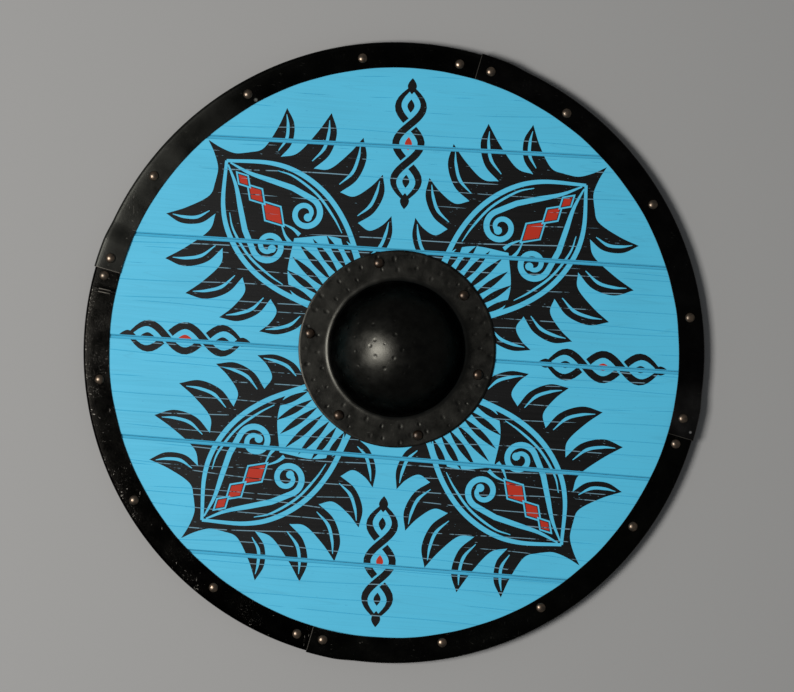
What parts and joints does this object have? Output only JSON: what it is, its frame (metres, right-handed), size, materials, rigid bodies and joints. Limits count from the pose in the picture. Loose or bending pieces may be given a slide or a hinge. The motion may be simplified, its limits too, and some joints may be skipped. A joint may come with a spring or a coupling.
{
  "type": "wooden round shield",
  "caption": "Round plank shield with a painted face, a riveted steel rim, a domed steel boss over the hand hole and a hand grip behind it.",
  "frame": {"origin": "middle of the shield's circle, on the surface that the shield lies on", "axes": "+Z out of the painted face, towards the boss's crown; +X along the planks; +Y across them, towards the top of the painted face"},
  "size_m": [0.61, 0.61, 0.0768],
  "materials": {
    "painted_wood": "satin",
    "bare_wood": "matte",
    "black_steel": "satin",
    "rivet_steel": "satin"
  },
  "bodies": {
    "root": {"plank_1": "painted_wood", "plank_2": "painted_wood", "plank_3": "painted_wood", "plank_4": "painted_wood", "plank_5": "painted_wood", "plank_6": "painted_wood", "rim_upper_left": "black_steel", "rim_upper_right": "black_steel", "rim_lower_right": "black_steel", "rim_lower_left": "black_steel", "boss": "black_steel", "grip_strap": "black_steel", "rim_rivet_01": "rivet_steel", "rim_rivet_02": "rivet_steel", "rim_rivet_03": "rivet_steel", "rim_rivet_04": "rivet_steel", "rim_rivet_05": "rivet_steel", "rim_rivet_06": "rivet_steel", "rim_rivet_07": "rivet_steel", "rim_rivet_08": "rivet_steel", "rim_rivet_09": "rivet_steel", "rim_rivet_10": "rivet_steel", "rim_rivet_11": "rivet_steel", "rim_rivet_12": "rivet_steel", "rim_rivet_13": "rivet_steel", "rim_rivet_14": "rivet_steel", "rim_rivet_15": "rivet_steel", "rim_rivet_16": "rivet_steel", "rim_rivet_17": "rivet_steel", "rim_rivet_18": "rivet_steel", "rim_rivet_19": "rivet_steel", "rim_rivet_20": "rivet_steel", "boss_rivet_1": "rivet_steel", "boss_rivet_2": "rivet_steel", "boss_rivet_3": "rivet_steel", "boss_rivet_4": "rivet_steel", "boss_rivet_5": "rivet_steel", "boss_rivet_6": "rivet_steel", "grip_screw_1": "rivet_steel", "grip_screw_2": "rivet_steel", "grip_handle": "bare_wood"}
  },
  "joints": []
}
